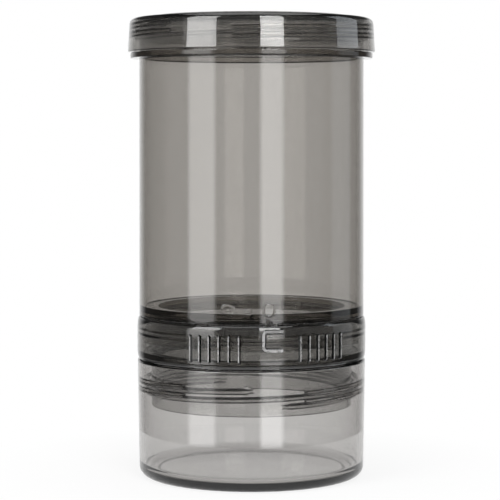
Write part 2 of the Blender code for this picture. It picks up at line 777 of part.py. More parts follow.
def place(piece, carrier, height):
    """Set the piece on its carrier, that far above the carrier's own datum."""
    piece.parent = carrier
    piece.location = (0, 0, height)


for leftover in list(bpy.data.objects):
    bpy.data.objects.remove(leftover)

base_cup = make_base_cup()
cup_seal = make_cup_seal()
collar_ring = make_collar_ring()
shutter_disc = make_shutter_disc()
sieve_disc = make_sieve_disc()
chamber_tube = make_chamber_tube()
lid_seal = make_lid_seal()
lid = make_lid()

place(cup_seal, base_cup, RING_SEAT)
place(collar_ring, cup_seal, 0)
place(shutter_disc, collar_ring, SHUTTER_SEAT)
place(chamber_tube, collar_ring, TUBE_SEAT)
place(sieve_disc, chamber_tube, SIEVE_SEAT)
place(lid_seal, chamber_tube, MOUTH_TOP + CLEARANCE)
place(lid, lid_seal, -LID_SEAL_SEAT)
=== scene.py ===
"""Looks of the dusting shaker: moulded smoky plastic over the fixed frame, in a plain studio.

Lengths in the tables are millimetres and MM turns them into metres. Angles are degrees, counted
from the front (-Y) towards +X, so they grow anticlockwise seen from above. An outline is a row of
(radius, height) corners, each followed by its corner radius where it has one.
"""

import math

import bmesh
import bpy
from mathutils import Matrix, Vector


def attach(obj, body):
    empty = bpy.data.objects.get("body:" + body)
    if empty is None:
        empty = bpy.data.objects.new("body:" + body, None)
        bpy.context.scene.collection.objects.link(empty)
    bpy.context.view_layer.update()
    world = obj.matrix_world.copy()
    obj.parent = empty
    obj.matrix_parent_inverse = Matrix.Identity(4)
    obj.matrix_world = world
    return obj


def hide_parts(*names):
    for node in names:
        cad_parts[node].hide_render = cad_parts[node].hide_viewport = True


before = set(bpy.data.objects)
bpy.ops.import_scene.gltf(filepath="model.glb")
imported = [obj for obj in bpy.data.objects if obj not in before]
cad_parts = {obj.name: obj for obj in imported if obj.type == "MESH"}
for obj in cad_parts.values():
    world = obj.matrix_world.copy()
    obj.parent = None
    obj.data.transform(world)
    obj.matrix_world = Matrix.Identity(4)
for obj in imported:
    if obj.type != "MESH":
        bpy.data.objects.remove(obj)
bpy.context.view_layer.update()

MM = 0.001
MERGE_DISTANCE = 1e-7

# Meshing of turned shapes. The offset keeps facet edges off the stations of the ridges.
SEGMENTS = 176
SEGMENT_OFFSET = 0.31
CORNER_STEPS = 4
STRAIGHT_HALF_DEG = 89.5
LARGEST_CORNER_SHARE = 0.49
BLOCK_STEP_DEG = 3
SHARP_DEG = 32

# Walls whose normals are turned straight out: not level, off the axis, and facing along the spoke
LEVEL_FACE_LIMIT = 0.02
AXIS_REACH = 2
WALL_TOLERANCE_DEG = 2.6

# Screw threads, two starts, right-hand. The flank is (share of the rise, half width) from the foot.
LEAD = 6.6
PITCH = 3.3
STARTS = 2
THREAD_STEP_DEG = 2.4
THREAD_BITE = 0.5
FLANK_BITE = 0.2
FLANK = ((0, 1.3), (0.1, 1.25), (0.22, 0.88), (0.5, 0.72), (0.88, 0.60), (1, 0.42))
NECK_THREAD_START_DEG = 14.8
NECK_THREAD_HEIGHT = 32.5
MOUTH_THREAD_START_DEG = 15
MOUTH_THREAD_HEIGHT = 172.85

# Heights of the pieces' seats
CUP_TOP = 46.9
RING_FOOT = 47.2
RING_TOP = 64.2
SPIGOT_FOOT = 54.3
TUBE_SEAT = 64.5
COLLAR_FOOT = 167.2
COLLAR_TOP = 169.4
LIP = 169.7
MOUTH_TOP = 179.8
LID_TOP = 183.1

# Radii of the walls that carry threads
CUP_BORE = 43.5
NECK_RADIUS = 40.45
TUBE_MOUTH_RADIUS = 44.85
LID_BORE = 47.0

# Twist shutter under the sieve: stations of the keys, sectors of the windows
KEY_ANGLES = (30, 150, 270)
SECTORS = 9
SECTOR_DEG = 40

# Barrel of the twist collar, with its bars and index mark
BARREL_STEPS = 12
BARREL_END_RADIUS = 45.5
BARREL_BULGE = 0.5
BARREL_FULLNESS = 6
BARREL_HALF_HEIGHT = 8.05
GRIP_GROUPS = ((-18.1, -1), (35.9, 1), (161.9, -1), (215.9, 1))
GRIPS_IN_GROUP = 6
GRIP_PITCH_DEG = 4.9
GRIP_FOOT_RADIUS = 45.9
GRIP_RISE = 0.7
MARK_LEFT_DEG = 5.9
MARK_RIGHT_DEG = 15.0
MARK_TOP = 62.1
MARK_FOOT = 55.1
MARK_RADIUS = 46.0
MARK_CORNER = 1.3
MARK_CORNER_STEPS = 4

# Looks of the plastics. A face is darkened with painted edge shade where it is less upright or level
# than the first share of the edge shade range, and clear past the second. The foot's rounding is
# clear up to a height.
STYRENE_IOR = 1.57
LEVEL_FACE_POWER = 18
EDGE_SHADE_RANGE = (0.86, 0.95)
CLEAR_TINT = 0.985
FOOT_CLEAR_HEIGHTS = (0.006, 0.010)
BEAD_RADIUS = 43.7
BEAD_REACH = 0.55
FLOW_STRETCH = (60, 60, 14)
FLOW_BUMP = (0.05, 0.0003)
SPECK_SCALE = 900
# Pale half-opaque bands painted as highlights on the bars' crests and on the tube's seat and spigot
# edges
HIGHLIGHT_BAND_SCALE = 700
HIGHLIGHT_BAND_TRANSMISSION = 0.5

# Looks of the seals
SILICONE_IOR = 1.41
SILICONE_SPECULAR = 0.2
SILICONE_GRAIN_SCALE = 1400
SILICONE_BUMP = (0.25, 0.0001)

WHITE = (1, 1, 1)

# Softboxes: name, azimuth, width, angle over which the sides fade, bottom and top in metres,
# strength and colour
SOFTBOX_DISTANCE = 0.7
SOFTBOXES = (
    ("SoftboxLeftLower", -50.4, 28, 6.5, (-0.18, -0.09), 2.6, WHITE),
    ("SoftboxRightLower", 19.9, 21.6, 6.5, (-0.18, -0.09), 3.5, WHITE),
    ("SoftboxLeftNeck", -50.4, 28, 6.5, (-0.09, -0.045), 1.3, WHITE),
    ("SoftboxRightNeck", 19.9, 21.6, 6.5, (-0.09, -0.045), 2.0, WHITE),
    ("SoftboxLeftGap", -50.4, 28, 6.5, (-0.045, 0.0), 0.7, WHITE),
    ("SoftboxRightGap", 19.9, 21.6, 6.5, (-0.045, 0.0), 0.7, WHITE),
    ("SoftboxSideGap", 102, 30, 6.5, (-0.045, 0.0), 0.4, WHITE),
    ("SoftboxLeft", -50.4, 28, 6.5, (0.0, 0.24), 2.6, WHITE),
    ("SoftboxRight", 19.9, 21.6, 6.5, (0.0, 0.24), 3.1, WHITE),
    ("SoftboxSide", 102, 30, 6.5, (0.0, 0.24), 0.5, (0.9, 0.95, 1)),
    ("SoftboxLeftUpper", -45.5, 28.5, 0, (0.24, 0.8), 6.3, WHITE),
    ("SoftboxRightUpper", 18.3, 21, 0, (0.24, 0.8), 8.4, WHITE),
    ("SoftboxSideUpper", 98.4, 30, 0, (0.24, 0.8), 1.7, (0.88, 0.94, 1)),
)
TOP_LIGHT_SIZE = 0.9
TOP_LIGHT_STRENGTH = 2.0

# Floor, in metres and in shares of white. Its own shading shows near the shaker and fades outwards.
FLOOR_RADIUS = 0.13
FLOOR_DROP = 0.0002
FLOOR_COLOUR = (0.92, 0.92, 0.92, 1)
FLOOR_FADE_RADII = (0.045, 0.125)
FLOOR_FADE_SHARES = (0.85, 1)

# Room: strength away from the white, and the sines of the directions over which the white fades
ROOM_STRENGTH = 0.07
WHITE_HEIGHT_FADE = (0.20, 0.36)
WHITE_BEHIND_FADE = (0.7, 0.97)

# Camera at eye level with the upper tube, as in the photograph
SENSOR_WIDTH = 36
FOCAL_LENGTH_PX = 1885
IMAGE_PX = 500
CAMERA_PLACE = (-0.00058, -0.758, 0.14009)
CAMERA_TILT_DEG = 3.745
LIGHT_BOUNCES = 32


def polar(radius, angle_deg, height):
    """Point in metres at a radius, an angle from the front and a height in millimetres."""
    angle = math.radians(angle_deg)
    return Vector((radius * math.sin(angle), -radius * math.cos(angle), height)) * MM


def rounded(outline):
    """Outline with its corners turned into short arcs."""
    points = []
    for index, entry in enumerate(outline):
        corner = Vector(entry[:2])
        fillet = entry[2] if len(entry) == 3 else 0
        before = Vector(outline[index - 1][:2]) - corner
        after = Vector(outline[(index + 1) % len(outline)][:2]) - corner
        half = before.angle(after) / 2 if fillet else 0
        if not fillet or half > math.radians(STRAIGHT_HALF_DEG):
            points.append(tuple(corner))
            continue
        longest = LARGEST_CORNER_SHARE * min(before.length, after.length)
        reach = min(fillet / math.tan(half), longest)
        radius = reach * math.tan(half)
        bisector = (before.normalized() + after.normalized()).normalized()
        centre = corner + bisector * radius / math.sin(half)
        first = corner + before.normalized() * reach - centre
        last = corner + after.normalized() * reach - centre
        turn = first.angle_signed(last)
        for step in range(CORNER_STEPS + 1):
            share = -turn * step / CORNER_STEPS
            points.append(tuple(centre + Matrix.Rotation(share, 2) @ first))
    return points


def new_object(name, builder):
    """Object with the closed mesh in the builder, its faces out and its corners sharp."""
    bmesh.ops.remove_doubles(builder, verts=builder.verts, dist=MERGE_DISTANCE)
    bmesh.ops.recalc_face_normals(builder, faces=builder.faces)
    mesh = bpy.data.meshes.new(name)
    builder.to_mesh(mesh)
    builder.free()
    mesh.shade_smooth()
    mesh.set_sharp_from_angle(angle=math.radians(SHARP_DEG))
    piece = bpy.data.objects.new(name, mesh)
    bpy.context.scene.collection.objects.link(piece)
    return piece


def turned(name, outline):
    """Object with the outline spun once round the axis."""
    builder = bmesh.new()
    rings = []
    for radius, height in rounded(outline):
        if radius == 0:
            rings.append([builder.verts.new((0, 0, height * MM))])
            continue
        rings.append([
            builder.verts.new(polar(radius, 360 * (side + SEGMENT_OFFSET) / SEGMENTS, height))
            for side in range(SEGMENTS)
        ])
    for index, ring in enumerate(rings):
        other = rings[index - 1]
        if len(ring) == 1 and len(other) == 1:
            continue
        for side in range(SEGMENTS):
            corners = [ring[side % len(ring)], ring[(side + 1) % len(ring)]]
            corners += [other[(side + 1) % len(other)], other[side % len(other)]]
            builder.faces.new(list(dict.fromkeys(corners)))
    return new_object(name, builder)


def skin(builder, sections):
    """Closed solid through a row of like sections, with a cap at each end."""
    rings = [[builder.verts.new(point) for point in section] for section in sections]
    for near, far in zip(rings, rings[1:]):
        for index in range(len(near)):
            builder.faces.new((near[index - 1], near[index], far[index], far[index - 1]))
    builder.faces.new(rings[0])
    builder.faces.new(rings[-1])


def blocks(name, *rows):
    """Tool object with blocks bent round the axis.

    Each row is (inner radius, outer radius, bottom, top, width in degrees, centres' angles).
    """
    builder = bmesh.new()
    for inner, outer, bottom, top, width_deg, centres in rows:
        corners = ((inner, bottom), (outer, bottom), (outer, top), (inner, top))
        steps = max(1, round(width_deg / BLOCK_STEP_DEG))
        for centre_deg in centres:
            skin(builder, [
                [
                    polar(radius, centre_deg + width_deg * (step / steps - 0.5), height)
                    for radius, height in corners
                ]
                for step in range(steps + 1)
            ])
    return new_object(name, builder)


def thread(root, crest, start_deg, sweep_deg, start_height, rows=1, ramp_deg=0):
    """Tool object with the ridges of one thread, each with softly rounded flanks.

    The ridge stands on the root radius and reaches the crest radius, inside or outside it. With
    a ramp its two ends run out into the wall, and without one they are cut off square.
    """
    builder = bmesh.new()
    profile = [(share, -half_width) for share, half_width in FLANK] + list(reversed(FLANK))
    outwards = math.copysign(1, crest - root)
    foot = root - outwards * THREAD_BITE
    low_tip = root - outwards * FLANK_BITE
    stations = round(sweep_deg / THREAD_STEP_DEG)
    for start in range(STARTS):
        for row in range(rows):
            sections = []
            for station in range(stations + 1):
                turned_deg = sweep_deg * station / stations
                angle = start_deg + turned_deg + 360 * start / STARTS
                height = start_height + row * PITCH + LEAD * turned_deg / 360
                to_end_deg = min(turned_deg, sweep_deg - turned_deg)
                reach = math.sin(math.pi / 2 * min(1, to_end_deg / ramp_deg)) if ramp_deg else 1
                section = []
                for share, half_width in profile:
                    radius = low_tip + (crest - low_tip) * share * reach if share else foot
                    section.append(polar(radius, angle, height + half_width))
                sections.append(section)
            skin(builder, sections)
    return new_object("thread", builder)


def baked(piece):
    """Mesh of the piece with its modifiers applied."""
    depsgraph = bpy.context.evaluated_depsgraph_get()
    mesh = bpy.data.meshes.new_from_object(piece.evaluated_get(depsgraph))
    piece.modifiers.clear()
    return mesh


def combine(piece, tool, operation):
    """Join the tool to the piece or cut it out, and drop the tool."""
    modifier = piece.modifiers.new("Combine", "BOOLEAN")
    modifier.operation = operation
    modifier.object = tool
    piece.data = mesh = baked(piece)
    bpy.data.objects.remove(tool)
    mesh.shade_smooth()
    mesh.set_sharp_from_angle(angle=math.radians(SHARP_DEG))


def polish(piece):
    """Shade large faces true and small corners round, with the walls' normals straight out."""
    modifier = piece.modifiers.new("Weighted", "WEIGHTED_NORMAL")
    modifier.mode = "FACE_AREA"
    modifier.keep_sharp = True
    piece.data = mesh = baked(piece)
    normals = [corner.vector.copy() for corner in mesh.corner_normals]
    for face in mesh.polygons:
        level = Vector(face.normal[:2])
        for index in face.loop_indices:
            spoke = Vector(mesh.vertices[mesh.loops[index].vertex_index].co[:2])
            if level.length < LEVEL_FACE_LIMIT or spoke.length < AXIS_REACH * MM:
                continue
            spoke.normalize()
            if abs(spoke.cross(level.normalized())) < math.sin(math.radians(WALL_TOLERANCE_DEG)):
                flat = math.copysign(Vector(normals[index][:2]).length, spoke.dot(level))
                normals[index] = Vector((spoke.x * flat, spoke.y * flat, normals[index].z))
    mesh.normals_split_custom_set(normals)


def dress(piece, node, body, material):
    """Let the piece stand for a node of the frame, ride on its body and take its material."""
    polish(piece)
    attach(piece, body)
    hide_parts(node)
    piece.data.materials.clear()
    piece.data.materials.append(material)


def feed(tree, node, values):
    """Give each input of a node, in order, the value of a socket or a plain value."""
    for index, value in enumerate(values):
        if isinstance(value, bpy.types.NodeSocket):
            tree.links.new(value, node.inputs[index])
        else:
            node.inputs[index].default_value = value


def maths(tree, operation, *values):
    """Socket with the result of a maths operation."""
    node = tree.nodes.new("ShaderNodeMath")
    node.operation = operation
    feed(tree, node, values)
    return node.outputs["Value"]


def vector_maths(tree, operation, *values):
    """Socket with the result of a vector maths operation."""
    node = tree.nodes.new("ShaderNodeVectorMath")
    node.operation = operation
    feed(tree, node, values)
    return node.outputs["Value" if operation in ("LENGTH", "DOT_PRODUCT") else "Vector"]


def part_of(tree, vector, axis):
    """Socket with one part of a vector."""
    node = tree.nodes.new("ShaderNodeSeparateXYZ")
    tree.links.new(vector, node.inputs["Vector"])
    return node.outputs[axis]


def remap(tree, value, source, target, interpolation="LINEAR"):
    """Socket with the value brought from one range to another and held at both ends."""
    node = tree.nodes.new("ShaderNodeMapRange")
    node.interpolation_type = interpolation
    node.inputs["From Min"].default_value, node.inputs["From Max"].default_value = source
    node.inputs["To Min"].default_value, node.inputs["To Max"].default_value = target
    tree.links.new(value, node.inputs["Value"])
    return node.outputs["Result"]


def noise(tree, place, scale, detail):
    """Socket with a cloudy pattern in space."""
    node = tree.nodes.new("ShaderNodeTexNoise")
    node.inputs["Scale"].default_value = scale
    node.inputs["Detail"].default_value = detail
    tree.links.new(place, node.inputs["Vector"])
    return node.outputs["Fac"]


def add_bump(tree, shader, height, strength, distance):
    """Let a pattern raise and lower the shader's surface."""
    node = tree.nodes.new("ShaderNodeBump")
    node.inputs["Strength"].default_value = strength
    node.inputs["Distance"].default_value = distance
    tree.links.new(height, node.inputs["Height"])
    tree.links.new(node.outputs["Normal"], shader.inputs["Normal"])


def mix_shaders(tree, share, first, second):
    """Socket with the first shader, and the second where the share is 1."""
    node = tree.nodes.new("ShaderNodeMixShader")
    feed(tree, node, (share, first, second))
    return node.outputs["Shader"]


def new_material(name, ior):
    """Material of one Principled shader, with its tree, that shader and the object's coordinates."""
    material = bpy.data.materials.new(name)
    material.use_nodes = True
    tree = material.node_tree
    shader = tree.nodes["Principled BSDF"]
    shader.inputs["IOR"].default_value = ior
    return material, tree, shader, tree.nodes.new("ShaderNodeTexCoord").outputs


def smoky_plastic(name, colour, density, haze, painted_edge_shade):
    """Clear moulded plastic: the smoke is in its depth, with flow marks and handling haze.

    Walls and flat faces are clear. On slanted faces the base colour darkens to the painted edge
    shade, which draws the bars, ridges and rounded corners as painted dark lines of shade. The
    wide rounding of the foot and the shallow snap bead stay clear.
    """
    material, tree, shader, place = new_material(name, STYRENE_IOR)
    shader.inputs["Transmission Weight"].default_value = 1
    level = vector_maths(tree, "MULTIPLY", place["Object"], (1, 1, 0))
    spoke = vector_maths(tree, "NORMALIZE", level)
    wall = maths(tree, "ABSOLUTE", vector_maths(tree, "DOT_PRODUCT", spoke, place["Normal"]))
    flat = maths(tree, "ABSOLUTE", part_of(tree, place["Normal"], "Z"))
    straight = maths(tree, "MAXIMUM", wall, maths(tree, "POWER", flat, LEVEL_FACE_POWER))
    foot = remap(tree, part_of(tree, place["Object"], "Z"), FOOT_CLEAR_HEIGHTS, (1, 0))
    reach = vector_maths(tree, "LENGTH", level)
    bead = maths(tree, "COMPARE", reach, BEAD_RADIUS * MM, BEAD_REACH * MM)
    gentle = maths(tree, "MAXIMUM", straight, maths(tree, "MAXIMUM", foot, bead))
    # Painted edge shade: the base colour darkens on slanted faces, drawing dark lines of shade
    clear = remap(tree, gentle, EDGE_SHADE_RANGE, (painted_edge_shade, CLEAR_TINT), "SMOOTHSTEP")
    tree.links.new(clear, shader.inputs["Base Color"])
    stretch = tree.nodes.new("ShaderNodeMapping")
    stretch.inputs["Scale"].default_value = FLOW_STRETCH
    tree.links.new(place["Object"], stretch.inputs["Vector"])
    add_bump(tree, shader, noise(tree, stretch.outputs["Vector"], 1, 3), *FLOW_BUMP)
    specks = noise(tree, place["Object"], SPECK_SCALE, 2)
    roughness = remap(tree, specks, (0, 1), (haze * 0.5, haze * 1.5))
    tree.links.new(roughness, shader.inputs["Roughness"])
    depth = tree.nodes.new("ShaderNodeVolumeAbsorption")
    depth.inputs["Color"].default_value = (*colour, 1)
    depth.inputs["Density"].default_value = density
    tree.links.new(depth.outputs["Volume"], tree.nodes["Material Output"].inputs["Volume"])
    return material


def paint_highlight_bands(material, bands):
    """Painted highlights: fine pale patchy bands of (radius or height, middle, reach) on crests and
    edges.
    """
    tree = material.node_tree
    place = tree.nodes.new("ShaderNodeTexCoord").outputs["Object"]
    level = vector_maths(tree, "MULTIPLY", place, (1, 1, 0))
    measures = {
        "radius": vector_maths(tree, "LENGTH", level),
        "height": part_of(tree, place, "Z"),
    }
    highlighted = 0
    for measure, middle, reach in bands:
        near = maths(tree, "COMPARE", measures[measure], middle * MM, reach * MM)
        highlighted = maths(tree, "MAXIMUM", highlighted, near)
    patchy = maths(tree, "MULTIPLY", highlighted, noise(tree, place, HIGHLIGHT_BAND_SCALE, 2))
    # Less transmission lets the pale base colour show in the bands: painted highlight
    left = remap(tree, patchy, (0, 1), (1, HIGHLIGHT_BAND_TRANSMISSION))
    tree.links.new(left, tree.nodes["Principled BSDF"].inputs["Transmission Weight"])


def silicone(name, level):
    """Soft matt seal with a fine grain, of one grey level."""
    material, tree, shader, place = new_material(name, SILICONE_IOR)
    shader.inputs["Specular IOR Level"].default_value = SILICONE_SPECULAR
    grain = noise(tree, place["Object"], SILICONE_GRAIN_SCALE, 4)
    tone = tree.nodes.new("ShaderNodeValToRGB")
    for stop, position, share in zip(tone.color_ramp.elements, (0.35, 0.65), (0.8, 1.2)):
        stop.position = position
        stop.color = (share * level, share * level, share * level, 1)
    tree.links.new(grain, tone.inputs["Fac"])
    tree.links.new(tone.outputs["Color"], shader.inputs["Base Color"])
    tree.links.new(remap(tree, grain, (0, 1), (0.6, 0.8)), shader.inputs["Roughness"])
    add_bump(tree, shader, grain, *SILICONE_BUMP)
    return material


# The last value of each plastic is the base colour of its painted edge shade on slanted faces
TUBE_PLASTIC = smoky_plastic(
    "tube_plastic", (0.48, 0.455, 0.42), density=500, haze=0.006, painted_edge_shade=0.12
)
COLLAR_PLASTIC = smoky_plastic(
    "collar_plastic", (0.47, 0.46, 0.44), density=480, haze=0.006, painted_edge_shade=0.04
)
CUP_PLASTIC = smoky_plastic(
    "cup_plastic", (0.48, 0.46, 0.44), density=255, haze=0.006, painted_edge_shade=0.06
)
LID_PLASTIC = smoky_plastic(
    "lid_plastic", (0.47, 0.455, 0.43), density=365, haze=0.006, painted_edge_shade=0.05
)
SIEVE_PLASTIC = smoky_plastic(
    "sieve_plastic", (0.45, 0.44, 0.42), density=1000, haze=0.05, painted_edge_shade=0.2
)
SEAL_SILICONE = silicone("seal_silicone", 0.02)
# Painted highlights: pale bands on the collar's bar crests and on the tube's edges at its spigot
# foot and seat
paint_highlight_bands(COLLAR_PLASTIC, [("radius", 46.8, 0.4)])
paint_highlight_bands(TUBE_PLASTIC, [("height", 54.4, 0.25), ("height", 64.6, 0.2)])


def neck_ridge(angle_deg):
    """Height of the neck's lowest ridge at an angle."""
    return NECK_THREAD_HEIGHT + LEAD * (angle_deg - NECK_THREAD_START_DEG) / 360


def mouth_ridge(angle_deg):
    """Height of the mouth's lowest ridge at an angle."""
    return MOUTH_THREAD_HEIGHT + LEAD * (angle_deg - MOUTH_THREAD_START_DEG) / 360


def make_cup():
    """Drafted cup with a foot ring, and the broken inner thread that takes the neck."""
    cup = turned("Cup", [
        (0, 0.8),
        (36.9, 0.8, 0.5),
        (37.8, 0, 0.35),
        (45.3, 0, 4.0),
        (45.9, CUP_TOP, 0.6),
        (CUP_BORE, CUP_TOP, 0.4),
        (42.9, 3.3, 3.0),
        (0, 3.3),
    ])
    start_deg = 28.6
    ridges = thread(CUP_BORE, 41.55, start_deg, 114.5, neck_ridge(start_deg) + PITCH / 2, rows=2)
    combine(cup, ridges, "UNION")
    dress(cup, "base_cup", "base", CUP_PLASTIC)


def make_cup_seal():
    """Flat ring between the twist collar and the cup's rim."""
    seal = turned("CupSeal", [
        (40.75, RING_FOOT, 0.3),
        (44.3, RING_FOOT, 0.3),
        (44.3, 48.8, 0.3),
        (40.75, 48.8, 0.3),
    ])
    dress(seal, "cup_seal", "cup_seal_carrier", SEAL_SILICONE)


def make_grips():
    """Tool object with the slant-sided bars, in a pair of groups in front and a pair behind."""
    builder = bmesh.new()
    stations = ((49.9, 0.02), (50.5, 1), (60.1, 1), (60.8, 0.02))
    for group, outer in GRIP_GROUPS:
        for bar in range(GRIPS_IN_GROUP):
            angle = group + (bar - (GRIPS_IN_GROUP - 1) / 2) * GRIP_PITCH_DEG
            turn = Matrix.Rotation(math.radians(angle), 4, "Z")
            sections = []
            for height, scale in stations:
                crest = GRIP_FOOT_RADIUS + GRIP_RISE * scale
                corners = (
                    (0.85, 45.2),
                    (-0.9, 45.2),
                    (-0.7, GRIP_FOOT_RADIUS),
                    (-0.05, crest),
                    (0.45, crest),
                    (0.7, GRIP_FOOT_RADIUS),
                )
                sections.append([
                    turn @ Vector((side * outer, -reach, height)) * MM for side, reach in corners
                ])
            skin(builder, sections)
    return new_object("grips", builder)


def make_index_mark():
    """Tool object with the collar's index mark, a raised bracket bent from one rounded bar."""
    corner_deg = math.degrees(MARK_CORNER / MARK_RADIUS)
    route = [(MARK_RIGHT_DEG, MARK_TOP)]
    for first_deg, height, side in ((90, MARK_TOP, 1), (180, MARK_FOOT, -1)):
        for step in range(MARK_CORNER_STEPS + 1):
            spoke = math.radians(first_deg + 90 * step / MARK_CORNER_STEPS)
            route.append((
                MARK_LEFT_DEG + corner_deg * (1 + math.cos(spoke)),
                height + MARK_CORNER * (math.sin(spoke) - side),
            ))
    route.append((MARK_RIGHT_DEG, MARK_FOOT))
    bar = ((-1.05, 45.2), (-1.0, 45.9), (-0.75, 46.6), (0.35, 46.6), (1.0, 45.9), (1.05, 45.2))
    flat = [Vector((math.radians(angle) * MARK_RADIUS, height)) for angle, height in route]
    sections = []
    for index, point in enumerate(flat):
        ahead = flat[min(index + 1, len(flat) - 1)] - flat[max(index - 1, 0)]
        side = Vector((-ahead.y, ahead.x)).normalized()
        section = []
        for across, reach in bar:
            place = point + side * across
            section.append(polar(reach, math.degrees(place.x / MARK_RADIUS), place.y))
        sections.append(section)
    builder = bmesh.new()
    skin(builder, sections)
    return new_object("index", builder)


def make_collar():
    """Barrel with a shelf, a sleeve that carries the shutter and a threaded neck below."""
    barrel = []
    for step in range(-BARREL_STEPS, BARREL_STEPS + 1):
        share = math.sin(math.pi / 2 * (step / BARREL_STEPS))
        barrel.append((
            BARREL_END_RADIUS + BARREL_BULGE * (1 - share ** BARREL_FULLNESS),
            (RING_FOOT + RING_TOP) / 2 + BARREL_HALF_HEIGHT * share,
        ))
    collar = turned("Collar", [
        (45.1, RING_FOOT, 0.1),
        *barrel,
        (45.1, RING_TOP, 0.1),
        (43.6, RING_TOP, 0.2),
        (43.6, 60.4, 0.5),
        (43.9, 59.5, 0.5),
        (43.9, 58.3, 0.5),
        (43.6, 57.4, 0.5),
        (43.6, 50.4, 0.6),
        (NECK_RADIUS, 50.4, 0.6),
        (NECK_RADIUS, 62.0, 0.2),
        (38.45, 62.0, 0.2),
        (38.45, 28.8, 0.3),
        (NECK_RADIUS, 28.8, 0.5),
        (NECK_RADIUS, 49.1, 0.3),
        (44.6, 49.1, 0.2),
        (44.6, RING_FOOT, 0.15),
    ])
    ridges = thread(
        NECK_RADIUS, 42.45, NECK_THREAD_START_DEG, 348, NECK_THREAD_HEIGHT, ramp_deg=10
    )
    combine(collar, ridges, "UNION")
    combine(collar, make_grips(), "UNION")
    combine(collar, make_index_mark(), "UNION")
    notches = blocks("notches", (37.4, 41.0, 60.5, 63.0, 8.9, KEY_ANGLES))
    combine(collar, notches, "DIFFERENCE")
    posts = blocks("posts", (39.9, 44.1, 50.0, SPIGOT_FOOT - 0.3, 6, (171.6, 208.4)))
    combine(collar, posts, "UNION")
    dress(collar, "collar_ring", "collar", COLLAR_PLASTIC)


def make_shutter():
    """Disc with sector windows, centred in the sleeve."""
    shutter = turned("Shutter", [
        (0, 62.3),
        (36.65, 62.3, 0.3),
        (36.65, 59.9, 0.2),
        (38.15, 59.9, 0.2),
        (38.15, 62.3, 0.1),
        (40.45, 62.3, 0.2),
        (40.45, 63.9, 0.25),
        (0, 63.9),
    ])
    combine(shutter, blocks("lugs", (37.4, 40.15, 60.8, 63.1, 8, KEY_ANGLES)), "UNION")
    centres = [SECTOR_DEG / 2 + SECTOR_DEG * sector for sector in range(SECTORS)]
    combine(shutter, blocks("windows", (12, 35.5, 61.3, 64.9, 18.5, centres)), "DIFFERENCE")
    dress(shutter, "shutter_disc", "collar", SIEVE_PLASTIC)


def make_slots():
    """Tool object with the round-ended slots of the sieve, over the sectors of the shutter."""
    builder = bmesh.new()
    half_width = 0.8
    for sector in range(SECTORS):
        centre = SECTOR_DEG * sector
        rows = [(13.0, 20.5, centre)] + [(23.5, 34.5, centre + offset) for offset in (-6, 0, 6)]
        for near, far, angle in rows:
            turn = Matrix.Rotation(math.radians(angle), 4, "Z")
            plan = []
            for end, first_deg in ((far - half_width, -90), (near + half_width, 90)):
                for step in range(7):
                    spoke = math.radians(first_deg + 30 * step)
                    plan.append((end + half_width * math.cos(spoke), half_width * math.sin(spoke)))
            skin(builder, [
                [turn @ Vector((side, -reach, height)) * MM for reach, side in plan]
                for height in (63.2, 67.1)
            ])
    return new_object("slots", builder)


def make_sieve():
    """Disc with a raised rim, and slots over the sectors that the shutter can open."""
    sieve = turned("Sieve", [
        (0, 64.2),
        (40.9, 64.2, 0.2),
        (40.9, 66.1, 0.25),
        (39.7, 66.1, 0.25),
        (39.7, 65.7, 0.15),
        (0, 65.7),
    ])
    combine(sieve, make_slots(), "DIFFERENCE")
    combine(sieve, blocks("keyways", (39.9, 41.9, 63.2, 67.1, 4.9, KEY_ANGLES)), "DIFFERENCE")
    dress(sieve, "sieve_disc", "chamber", SIEVE_PLASTIC)


def ring_mark(builder, angle_deg, height, width, tall, stroke, rise):
    """Raised oval ring on the foot of the tube's wall, its front following the wall."""
    wall_radius = 45.18
    steps = 28
    profile = ((1, -0.5), (1, rise * 0.6), (0.75, rise), (0.35, rise), (0, rise * 0.6), (0, -0.5))
    sections = []
    for step in range(steps):
        spoke = math.tau * step / steps
        section = []
        for share, reach in profile:
            across = (width / 2 - stroke * (1 - share)) * math.cos(spoke)
            up = (tall / 2 - stroke * (1 - share)) * math.sin(spoke)
            angle = angle_deg + math.degrees(across / wall_radius)
            section.append(builder.verts.new(polar(wall_radius + reach, angle, height + up)))
        sections.append(section)
    for index, near in enumerate(sections):
        far = sections[(index + 1) % steps]
        for corner in range(len(profile)):
            builder.faces.new((near[corner - 1], near[corner], far[corner], far[corner - 1]))


